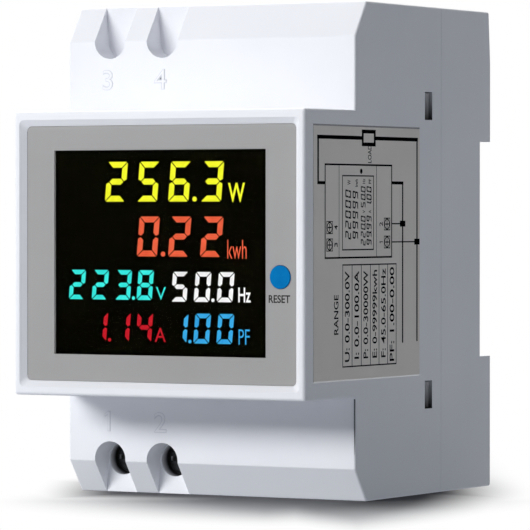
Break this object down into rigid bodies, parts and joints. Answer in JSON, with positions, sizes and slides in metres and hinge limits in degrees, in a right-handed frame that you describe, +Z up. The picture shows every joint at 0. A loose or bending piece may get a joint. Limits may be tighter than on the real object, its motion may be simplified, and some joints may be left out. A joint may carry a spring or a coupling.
{
  "type": "din rail energy meter",
  "caption": "Rail-mounted energy meter with a raised display box, reset button, shouldered screw terminals, sprung rail clip and a conductor hole.",
  "frame": {"origin": "middle of the footprint, on the surface that the meter stands on", "axes": "+Z up, -Y towards the front with the display, +X to the right as seen from the front"},
  "size_m": [0.054, 0.064, 0.08],
  "materials": {
    "housing": "satin white",
    "faceplate": "smooth grey",
    "clear_pane": "clear",
    "display_black": "gloss black",
    "light_guide": "frosted",
    "tinned_pin": "tinned",
    "circuit_board": "green lacquer",
    "black_plastic": "moulded black",
    "grey_plastic": "moulded light grey",
    "button_blue": "satin blue",
    "core_strip": "dull strip-wound core",
    "copper_winding": "enamelled wire",
    "wire_cover": "satin",
    "spring_steel": "drawn wire",
    "label_film": "printed film",
    "capacitor_box": "moulded box",
    "capacitor_can": "drawn can",
    "varistor_coat": "dipped coat",
    "resistor_coat": "dipped coat",
    "screw_steel": "zinc plated",
    "cage_steel": "zinc plated",
    "busbar_brass": "plain"
  },
  "bodies": {
    "housing": {"front_cover": "housing", "rear_base": "housing", "front_overlay": "faceplate", "display_window": "clear_pane", "lcd_glass": "display_black", "lcd_backlight": "light_guide", "lcd_pins": "tinned_pin", "display_board": "circuit_board", "main_board": "circuit_board", "board_header": "black_plastic", "tact_switch": "black_plastic", "terminal_carrier": "grey_plastic", "ct_sleeve": "housing", "ct_core": "core_strip", "ct_winding": "copper_winding", "ct_leads": "wire_cover", "clip_spring": "spring_steel", "side_label": "label_film", "film_capacitor": "capacitor_box", "filter_capacitors": "capacitor_can", "varistor": "varistor_coat", "fuse_resistor": "resistor_coat", "bridge_rectifier": "black_plastic", "metering_chip": "black_plastic", "microcontroller": "black_plastic", "main_board_screws": "screw_steel", "display_board_screws": "screw_steel", "busbar_1": "busbar_brass", "busbar_2": "busbar_brass"},
    "reset_button": {"reset_button": "button_blue", "switch_plunger": "grey_plastic"},
    "rail_clip": {"rail_clip": "grey_plastic"},
    "terminal_screw_1": {"terminal_screw_1": "screw_steel"},
    "terminal_cage_1": {"terminal_cage_1": "cage_steel"},
    "terminal_screw_2": {"terminal_screw_2": "screw_steel"},
    "terminal_cage_2": {"terminal_cage_2": "cage_steel"}
  },
  "joints": [
    {"name": "reset_button_press", "type": "slide", "parent": "housing", "child": "reset_button", "axis": [0, 1, 0], "range_m": [0, 0.0004], "stiffness_N_per_m": 1500, "springref_m": -0.0005},
    {"name": "rail_clip_slide", "type": "slide", "parent": "housing", "child": "rail_clip", "axis": [0, 0, -1], "range_m": [0, 0.0035], "stiffness_N_per_m": 800, "springref_m": -0.004, "deforming": ["clip_spring"]},
    {"name": "terminal_cage_1_lift", "type": "slide", "parent": "housing", "child": "terminal_cage_1", "axis": [0, -1, 0], "range_m": [0, 0.0036]},
    {"name": "terminal_screw_1_turn", "type": "hinge", "parent": "housing", "child": "terminal_screw_1", "pos_m": [-0.019, 0, 0.0056], "axis": [0, 1, 0], "range_deg": [0, 2160]},
    {"name": "terminal_cage_2_lift", "type": "slide", "parent": "housing", "child": "terminal_cage_2", "axis": [0, -1, 0], "range_m": [0, 0.0036]},
    {"name": "terminal_screw_2_turn", "type": "hinge", "parent": "housing", "child": "terminal_screw_2", "pos_m": [-0.009, 0, 0.0056], "axis": [0, 1, 0], "range_deg": [0, 2160]}
  ],
  "couplings": [
    {"joint": "terminal_screw_1_turn", "follows": "terminal_cage_1_lift", "rad_per_m": 10472},
    {"joint": "terminal_screw_2_turn", "follows": "terminal_cage_2_lift", "rad_per_m": 10472}
  ]
}
